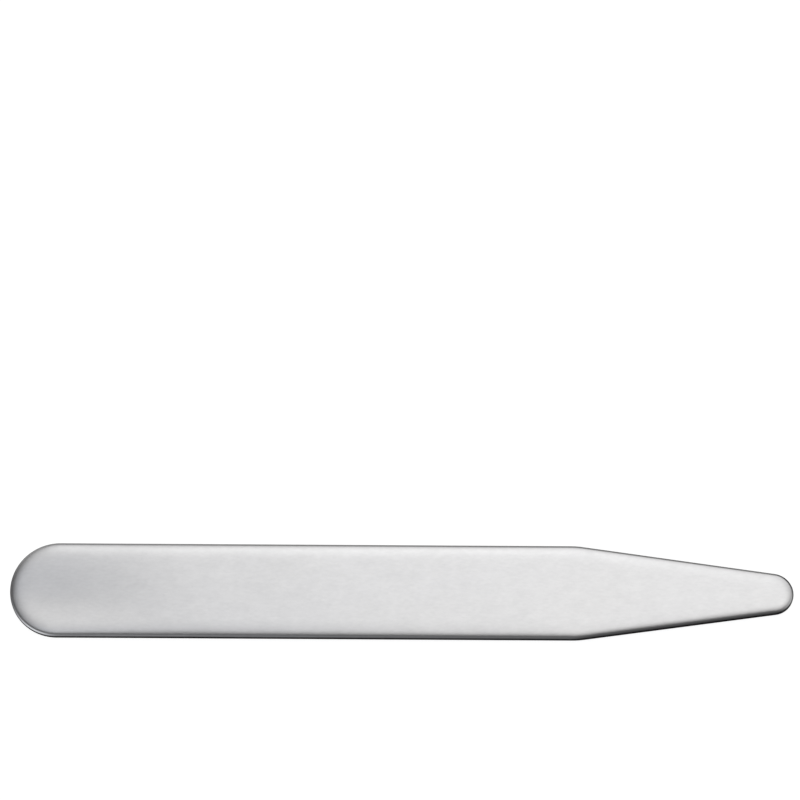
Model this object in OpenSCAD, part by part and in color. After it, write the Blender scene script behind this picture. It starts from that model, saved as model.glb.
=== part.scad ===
// Collar stay: one flat blank of sheet steel with a round end, parallel sides and
// a tapering point, its edge rounded along both faces. It lies on its lower face
// with the point towards +X, and the origin is under the middle of its box.

/* [Blank] */
// Length from the round end to the tip
stay_length = 76.2; // [50:0.1:90]
// Width across the parallel sides, and the diameter of the round end
stay_width = 9.5; // [7:0.1:12]
// Thickness of the sheet
sheet_thickness = 1.1; // [0.5:0.05:1.5]

/* [Point] */
// Length of the point, from where its sides would meet the parallel ones to the tip
point_length = 21; // [12:0.5:30]
// Radius of the round tip
tip_radius = 2.05; // [1:0.05:3]
// Radius of the shoulder that leads each parallel side into the point
shoulder_radius = 8; // [2:0.5:20]

/* [Edge] */
// Radius that runs round the edge of both faces
edge_radius = 0.35; // [0.05:0.01:0.5]

/* [Hidden] */
$fn = 96;

// The stretches of the edge start and end on whole microns, so that they meet
function microns(length) = round(length * 1000) / 1000;

// On a thin sheet the edge radius is smaller, so that a tenth of the wall stays flat
flat_share = 0.1;
rounding = min(edge_radius, sheet_thickness * (1 - flat_share) / 2);

half_width = stay_width / 2;
end_centre = microns(half_width - stay_length / 2);
tip_centre = microns(stay_length / 2 - tip_radius);
corner = stay_length / 2 - point_length;

// Each side of the point is the line from its corner that touches the tip's circle
corner_to_centre = norm([tip_centre - corner, half_width]);
point_angle = atan2(half_width, tip_centre - corner) - asin(tip_radius / corner_to_centre);
shoulder_length = shoulder_radius * tan(point_angle / 2);
shoulder_start = microns(corner - shoulder_length);
point_side = microns(sqrt(pow(corner_to_centre, 2) - pow(tip_radius, 2)) - shoulder_length);

// The core lies well inside the edge and joins its stretches
core_inset = (tip_radius + rounding) / 2;

// Section through the sheet from x = 0 out to the rounded wall at x = reach
module edge_section(reach) {
    square([reach - rounding, sheet_thickness]);
    translate([reach - rounding, rounding])
        square([rounding, sheet_thickness - 2 * rounding]);
    for (height = [rounding, sheet_thickness - rounding])
        translate([reach - rounding, height])
            circle(rounding);
}

// Straight stretch along X, with its wall at y = 0
module straight(length) {
    translate([0, -stay_width, 0])
        rotate([90, 0, 90])
            linear_extrude(length)
                edge_section(stay_width);
}

// Curved stretch about Z, with its wall at the radius given
module curve(start, turn, radius) {
    rotate_extrude(start = start, angle = turn)
        edge_section(radius);
}

module core() {
    linear_extrude(sheet_thickness)
        polygon([
            [end_centre, 0],
            [end_centre, half_width - core_inset],
            [corner - core_inset * tan(point_angle / 2), half_width - core_inset],
            [tip_centre, (tip_radius - core_inset) / cos(point_angle)],
            [tip_centre, 0]
        ]);
}

module half_stay() {
    core();
    translate([end_centre, 0, 0])
        curve(90, 90, half_width);
    translate([end_centre, half_width, 0])
        straight(shoulder_start - end_centre);
    translate([shoulder_start, half_width - shoulder_radius, 0])
        rotate(-point_angle) {
            curve(90, point_angle, shoulder_radius);
            translate([0, shoulder_radius, 0])
                straight(point_side);
            translate([point_side, shoulder_radius - tip_radius, 0])
                curve(-45, 135, tip_radius);
        }
}

// The stretches reach past the centre line, where each half is cut off
module stay() {
    color([0.8, 0.8, 0.81])
        for (side = [0, 1])
            mirror([0, side, 0])
                intersection() {
                    half_stay();
                    translate([-stay_length, 0, -sheet_thickness])
                        cube([2 * stay_length, stay_width, 3 * sheet_thickness]);
                }
}

stay();
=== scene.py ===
import math
import bpy
import numpy as np
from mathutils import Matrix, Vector


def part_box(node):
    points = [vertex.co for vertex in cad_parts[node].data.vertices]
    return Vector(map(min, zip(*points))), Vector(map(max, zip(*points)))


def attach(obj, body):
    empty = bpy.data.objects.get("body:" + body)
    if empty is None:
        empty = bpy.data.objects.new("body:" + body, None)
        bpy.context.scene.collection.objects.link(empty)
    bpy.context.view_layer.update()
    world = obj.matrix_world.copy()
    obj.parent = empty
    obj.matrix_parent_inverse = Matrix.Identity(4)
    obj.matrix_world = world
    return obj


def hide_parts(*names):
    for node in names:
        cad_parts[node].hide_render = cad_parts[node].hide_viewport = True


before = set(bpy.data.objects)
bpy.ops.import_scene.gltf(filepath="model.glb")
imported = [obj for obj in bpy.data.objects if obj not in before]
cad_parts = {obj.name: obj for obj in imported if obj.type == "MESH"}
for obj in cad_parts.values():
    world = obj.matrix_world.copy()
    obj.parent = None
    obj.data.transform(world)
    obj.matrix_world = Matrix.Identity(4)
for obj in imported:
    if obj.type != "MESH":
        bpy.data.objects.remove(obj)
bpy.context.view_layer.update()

MM = 0.001

# The stay
# One blank of stainless steel sheet, stamped to its outline and tumbled until its edges are
# round. Tumbling also wears the faces down along the rim, so that they fall away before they
# reach the edge, and leaves a fine, faintly mottled satin. Nothing is fixed to it.
low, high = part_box("stay")
width = high[1] - low[1]
sheet = high[2] - low[2]
point_length = 21.0 * MM
tip_radius = 2.05 * MM
shoulder_radius = 8.0 * MM
edge_radius = 0.35 * MM
rim_width = 2.45 * MM
rim_slope = 0.183
rim_share = 0.9
hollow_depth = 0.250 * MM
hollow_centre = (0.43 * MM, -1.18 * MM)
hollow_reach = (9.55 * MM, 3.37 * MM)
wave_depth = 0.001 * MM
wave_count = 16
shortest_wave = 9 * MM
longest_wave = 22 * MM
rim_steps = 19
corner_steps = 12
face_steps = 13
weld_within = 0.00001 * MM


def arc(centre, radius, start, stop, steps):
    """Points centre + radius (cos a, sin a) and their outward directions, for a from start to stop."""
    a = np.linspace(start, stop, steps)
    out = np.column_stack([np.cos(a), np.sin(a)])
    return np.array(centre) + radius * out, out


def line(start, stop, out, steps):
    """Points spaced evenly from start to stop, which all face the same way out."""
    share = np.linspace(0, 1, steps)[:, None]
    return (1 - share) * np.array(start) + share * np.array(stop), np.tile(out, (steps, 1))


def half_outline():
    """The outline's far half, from the middle of the round end to the very tip.

    A quarter circle, a line along X, the arc of the shoulder, a line that touches the circle of
    the tip, and that circle. The point's half angle is the slope from its corner down to the
    tip's centre, less the angle whose sine is the tip's radius over the distance between them.
    """
    half = width / 2
    end_x, tip_x = low[0] + half, high[0] - tip_radius
    corner_x = high[0] - point_length
    slope = math.atan2(half, tip_x - corner_x)
    angle = slope - math.asin(tip_radius / math.hypot(half, tip_x - corner_x))
    shoulder_x = corner_x - shoulder_radius * math.tan(angle / 2)
    shoulder_centre = (shoulder_x, half - shoulder_radius)
    upright = math.pi / 2
    shoulder = arc(shoulder_centre, shoulder_radius, upright, upright - angle, steps=9)
    tip = arc((tip_x, 0), tip_radius, upright - angle, 0, steps=40)
    stretches = [
        arc((end_x, 0), half, math.pi, upright, steps=72),
        line((end_x, half), (shoulder_x, half), (0, 1), steps=110),
        shoulder,
        line(shoulder[0][-1], tip[0][0], tip[1][0], steps=44),
        tip,
    ]
    points = np.concatenate([stretch[0][:-1] for stretch in stretches] + [tip[0][-1:]])
    outs = np.concatenate([stretch[1][:-1] for stretch in stretches] + [tip[1][-1:]])
    return points, outs


def edge_sections(points, outs):
    """The edge from one face round to the other at each point: distances in from it, and heights.

    Across the rim the face drops by slope * width / 5 times the fifth power of the share of the
    way out, so that it slopes most, by rim_slope, where it ends. There an arc of edge_radius
    carries on until it stands upright, and the lower half is the upper one mirrored in the
    middle of the sheet. Where the centre line is nearer than the rim is wide, the rim stops
    short of it, at rim_share of the way.
    """
    tilt = math.atan(rim_slope)
    arc_in = edge_radius * (1 - math.sin(tilt))
    slope_width = rim_width - arc_in
    drop = rim_slope * slope_width / 5
    y, out_y = points[:, 1:], outs[:, 1:]
    to_centre_line = np.divide(y, out_y, out=np.full_like(y, tip_radius), where=out_y > 0)
    reach = np.minimum(slope_width, rim_share * to_centre_line - arc_in)
    beyond = reach * np.linspace(1, 0, rim_steps + 1)
    turn = np.linspace(tilt, math.pi / 2, corner_steps + 1)[1:]
    corner_in = np.tile(edge_radius * (1 - np.sin(turn)), (len(points), 1))
    inward = np.concatenate([arc_in + beyond, corner_in], axis=1)
    rim_fall = drop * (1 - beyond / slope_width) ** 5
    corner_fall = drop + edge_radius * (math.cos(tilt) - np.cos(turn))
    fall = np.concatenate([rim_fall, np.tile(corner_fall, (len(points), 1))], axis=1)
    heights = np.concatenate([high[2] - fall, low[2] + fall[:, ::-1]], axis=1)
    return np.concatenate([inward, inward[:, ::-1]], axis=1), heights


def dip(x, y):
    """How far the upper face has sunk at (x, y).

    A shallow hollow that is deepest close to the rim of the round end, hollow_depth
    exp(-(u^2 + v^2)) with u and v the distances from its middle over its reach along X and Y.
    To it comes a slight waviness, wave_depth (1 + cos(k . p + a)) for each of wave_count waves,
    which are 9 to 22 mm long and run every which way.
    """
    u = (x - low[0] - hollow_centre[0]) / hollow_reach[0]
    v = (y - hollow_centre[1]) / hollow_reach[1]
    sunk = hollow_depth * np.exp(-(u ** 2 + v ** 2))
    full_turn = 2 * math.pi
    dice = np.random.default_rng(11)
    for _ in range(wave_count):
        wave_length, way, shift = dice.uniform((shortest_wave, 0, 0), (longest_wave, full_turn, full_turn))
        along = x * math.cos(way) + y * math.sin(way)
        sunk = sunk + wave_depth * (1 + np.cos(full_turn * along / wave_length + shift))
    return sunk


def welded(grid_rows):
    """Vertices and faces of a grid that closes on itself both ways round, with doubles made one.

    Each row is a closed loop. At the first row and the last one the near half lies on the far
    half, so their vertices are shared. A face with two corners in one place becomes a triangle,
    and one that has shrunk to a line is left out.
    """
    rows, loop = grid_rows.shape[:2]
    flat = grid_rows.reshape(-1, 3)
    cells = np.round(flat / weld_within)
    _, first, shared = np.unique(cells, axis=0, return_index=True, return_inverse=True)
    shared = shared.reshape(rows, loop)
    after = np.roll(shared, -1, axis=1)
    quads = np.stack([shared[:-1], after[:-1], after[1:], shared[1:]], axis=-1).reshape(-1, 4)
    moved_on = quads != np.roll(quads, 1, axis=1)
    corners = moved_on.sum(axis=1)
    open_across = (quads[:, 0] != quads[:, 2]) & (quads[:, 1] != quads[:, 3])
    whole = quads[(corners == 4) & open_across]
    triangles = quads[corners == 3][moved_on[corners == 3]].reshape(-1, 3)
    return flat[first], whole.tolist() + triangles.tolist()


def stay_surface():
    """The whole skin: the edge's section is carried along the outline, on both sides at once.

    Each row crosses the upper face from far to near, goes down the near edge, back across the
    lower face and up the far edge. A dip counts in full at the upper face and not at all at the
    lower one, which stays flat on the table.
    """
    points, outs = half_outline()
    inward, height = edge_sections(points, outs)
    x = points[:, :1] - outs[:, :1] * inward
    y = points[:, 1:] - outs[:, 1:] * inward
    far = np.stack([x, y, height], axis=-1)
    near = far * (1, -1, 1)
    across = np.linspace(0, 1, face_steps + 1)[1:-1][None, :, None]
    upper_face = far[:, :1] * (1 - across) + near[:, :1] * across
    lower_face = near[:, -1:] * (1 - across) + far[:, -1:] * across
    skin = np.concatenate([upper_face, near, lower_face, far[:, ::-1]], axis=1)
    skin[..., 2] -= dip(skin[..., 0], skin[..., 1]) * (skin[..., 2] - low[2]) / sheet
    return skin


vertices, faces = welded(stay_surface())
stay_mesh = bpy.data.meshes.new("stay_skin")
stay_mesh.from_pydata(vertices, [], faces)
stay_mesh.update()
stay_mesh.polygons.foreach_set("use_smooth", np.ones(len(stay_mesh.polygons), bool))
stay = bpy.data.objects.new("stay_skin", stay_mesh)
bpy.context.scene.collection.objects.link(stay)


def add_node(tree, kind, sockets=(), **settings):
    """A new node with these settings, each of its named sockets set to a value or linked to one."""
    made = tree.nodes.new(kind)
    for name, value in settings.items():
        setattr(made, name, value)
    for name, value in dict(sockets).items():
        if isinstance(value, bpy.types.NodeSocket):
            tree.links.new(value, made.inputs[name])
        else:
            made.inputs[name].default_value = value
    return made


def sum_of(tree, base, *terms):
    """The base plus each term's socket times its own factor."""
    total = base
    for socket, factor in terms:
        sockets = {0: socket, 1: factor, 2: total}
        total = add_node(tree, "ShaderNodeMath", sockets, operation="MULTIPLY_ADD").outputs[0]
    return total


def blend(tree, share, first, second):
    """The colour that goes from the first to the second as the share goes from 0 to 1.

    A Mix node has sockets for several kinds of value: 6 and 7 take the colours, and output 2
    gives theirs.
    """
    return add_node(tree, "ShaderNodeMix", {0: share, 6: first, 7: second}, data_type="RGBA").outputs[2]


def blotches(tree, size, detail):
    """Noise in the object's own space, whose blotches measure size in metres along X, Y and Z."""
    place = add_node(tree, "ShaderNodeTexCoord").outputs["Object"]
    per_metre = [1 / side for side in size]
    scaled = add_node(tree, "ShaderNodeVectorMath", {0: place, 1: per_metre}, operation="MULTIPLY")
    noise_sockets = {"Vector": scaled.outputs[0], "Scale": 1.0, "Detail": detail}
    return add_node(tree, "ShaderNodeTexNoise", noise_sockets).outputs[0]


def satin_steel():
    """Tumbled stainless steel.

    Its tone drifts between a bluish and a neutral grey over some 12 mm. A mottling of 1 to 2 mm,
    a grain about 0.25 mm wide and twice as long, and a few short thin scuffs dull it. The drift
    and the mottling change its roughness a little, the scuffs raise it, and the mottling and the
    grain tilt the surface very slightly.
    """
    bluish = (0.907, 0.907, 0.917, 1)
    neutral = (0.927, 0.922, 0.917, 1)
    dull = (0.45, 0.45, 0.46, 1)
    mottling_height = 0.0042 * MM
    grain_height = 0.00015 * MM
    material = bpy.data.materials.new("satin_steel")
    material.use_nodes = True
    tree = material.node_tree
    drift = blotches(tree, (12 * MM, 6 * MM, 6 * MM), detail=3.0)
    mottling = blotches(tree, (1.8 * MM, 1.1 * MM, 1.1 * MM), detail=2.0)
    grain = blotches(tree, (0.5 * MM, 0.24 * MM, 0.24 * MM), detail=1.0)
    scuff_noise = blotches(tree, (1.8 * MM, 0.12 * MM, 0.5 * MM), detail=1.0)
    scuff_sockets = {"Value": scuff_noise, "From Min": 0.70, "From Max": 0.78}
    scuffs = add_node(tree, "ShaderNodeMapRange", scuff_sockets).outputs[0]
    dulled = sum_of(tree, 0.0, (mottling, 0.16), (grain, 0.20), (scuffs, 0.04))
    grey = blend(tree, dulled, blend(tree, drift, bluish, neutral), dull)
    rough = sum_of(tree, 0.27, (drift, 0.014), (mottling, 0.006), (scuffs, 0.01))
    mottled = add_node(tree, "ShaderNodeBump", {"Distance": mottling_height, "Height": mottling})
    grain_sockets = {"Distance": grain_height, "Height": grain, "Normal": mottled.outputs[0]}
    grained = add_node(tree, "ShaderNodeBump", grain_sockets)
    shader = tree.nodes["Principled BSDF"]
    shader.inputs["Metallic"].default_value = 1.0
    tree.links.new(grey, shader.inputs["Base Color"])
    tree.links.new(rough, shader.inputs["Roughness"])
    tree.links.new(grained.outputs[0], shader.inputs["Normal"])
    return material


stay.data.materials.append(satin_steel())
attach(stay, "root")
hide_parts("stay")

# The table
# A plain white sheet of paper under the stay. It glows a little, as an overexposed studio sheet
# does, so that hardly any shadow shows on it, and the steel does not mirror it.
table_half = 2.0
table_gap = 0.02 * MM
table_corners = [(x * table_half, y * table_half, 0) for x, y in ((-1, -1), (1, -1), (1, 1), (-1, 1))]
table_mesh = bpy.data.meshes.new("table")
table_mesh.from_pydata(table_corners, [], [(0, 1, 2, 3)])
table = bpy.data.objects.new("table", table_mesh)
table.location.z = -table_gap
bpy.context.scene.collection.objects.link(table)
paper = bpy.data.materials.new("paper")
paper.use_nodes = True
paper_shader = paper.node_tree.nodes["Principled BSDF"]
paper_shader.inputs["Base Color"].default_value = (0.5, 0.5, 0.5, 1)
paper_shader.inputs["Specular IOR Level"].default_value = 0
paper_shader.inputs["Emission Color"].default_value = (1, 1, 1, 1)
paper_shader.inputs["Emission Strength"].default_value = 0.89
table.data.materials.append(paper)
table.visible_glossy = False

# The studio light
# Ten soft round lights in a dim room, most of them high up behind the stay, where the upper
# face mirrors them. The camera itself sees plain white all round.
studio = bpy.data.worlds.new("studio")
bpy.context.scene.world = studio
studio.use_nodes = True
studio_tree = studio.node_tree
view_way = add_node(studio_tree, "ShaderNodeTexCoord").outputs["Generated"]


def soft_light(others, azimuth, elevation, spread, strength, tint):
    """The other lights plus tint times strength exp((cos a - 1) / (1 - cos spread)).

    The angle a is measured from the light's middle. Its azimuth runs from +X towards +Y.
    """
    around, up, wide = math.radians(azimuth), math.radians(elevation), math.radians(spread)
    middle = (math.cos(around) * math.cos(up), math.sin(around) * math.cos(up), math.sin(up))
    dot = add_node(studio_tree, "ShaderNodeVectorMath", {0: view_way, 1: middle}, operation="DOT_PRODUCT")
    steep = 1 / (1 - math.cos(wide))
    power = sum_of(studio_tree, math.log(strength) - steep, (dot.outputs["Value"], steep))
    glow = add_node(studio_tree, "ShaderNodeMath", {0: power}, operation="EXPONENT").outputs[0]
    light = add_node(studio_tree, "ShaderNodeVectorMath", {0: tint, "Scale": glow}, operation="SCALE")
    both = add_node(studio_tree, "ShaderNodeVectorMath", {0: others, 1: light.outputs[0]}, operation="ADD")
    return both.outputs[0]


# Each light's azimuth, elevation and spread in degrees, its strength and its tint. The first
# five hang over the far side, two of them small and near the zenith. The rest are a wide low
# light in front on the left, the glow of the table's far end from below, and three faint fills.
plain = (1.0, 1.0, 1.0)
lights = [
    (94.3, 64.5, 9.3, 1.125, (0.999, 1.0, 1.001)),
    (37.8, 73.9, 7.8, 1.225, (1.004, 1.0, 0.99)),
    (67.0, 83.9, 4.4, 1.361, (1.003, 0.997, 0.997)),
    (138.9, 76.1, 4.5, 1.19, (0.945, 0.99, 1.085)),
    (71.2, 52.9, 23.0, 0.865, (1.003, 0.998, 0.996)),
    (224.0, 12.0, 32.5, 1.0, (0.975, 0.99, 1.033)),
    (90.2, -11.9, 24.5, 0.302, plain),
    (127.0, 13.8, 28.0, 0.40, plain),
    (355.5, 31.0, 31.6, 0.551, plain),
    (270.4, 71.5, 12.4, 0.140, plain),
]
lit = (0.0, 0.0, 0.0)
for light in lights:
    lit = soft_light(lit, *light)
seen = add_node(studio_tree, "ShaderNodeLightPath").outputs["Is Camera Ray"]
shown = blend(studio_tree, seen, lit, (1, 1, 1, 1))
studio_tree.links.new(shown, studio_tree.nodes["Background"].inputs["Color"])

# The camera
# It stands in front of the stay and looks down on it from 69 degrees up, 312 mm from the point
# of the table that fills the middle of its frame. Its focal length is given in pixels of that.
elevation = math.radians(69.0)
azimuth = 0.0062
distance = 312.3 * MM
target = Vector((-0.285, 20.24, 0)) * MM
frame_pixels = 800
focal_pixels = 3130
camera_data = bpy.data.cameras.new("camera")
camera = bpy.data.objects.new("camera", camera_data)
bpy.context.scene.collection.objects.link(camera)
flat_back = Vector((math.sin(azimuth), -math.cos(azimuth), 0))
back = flat_back * math.cos(elevation) + Vector((0, 0, math.sin(elevation)))
camera.location = target + back * distance
camera.rotation_euler = back.to_track_quat("Z", "Y").to_euler()
camera_data.sensor_width = 36
camera_data.lens = camera_data.sensor_width * focal_pixels / frame_pixels
camera_data.clip_start = 0.01
bpy.context.scene.camera = camera
bpy.context.scene.view_settings.view_transform = "Standard"
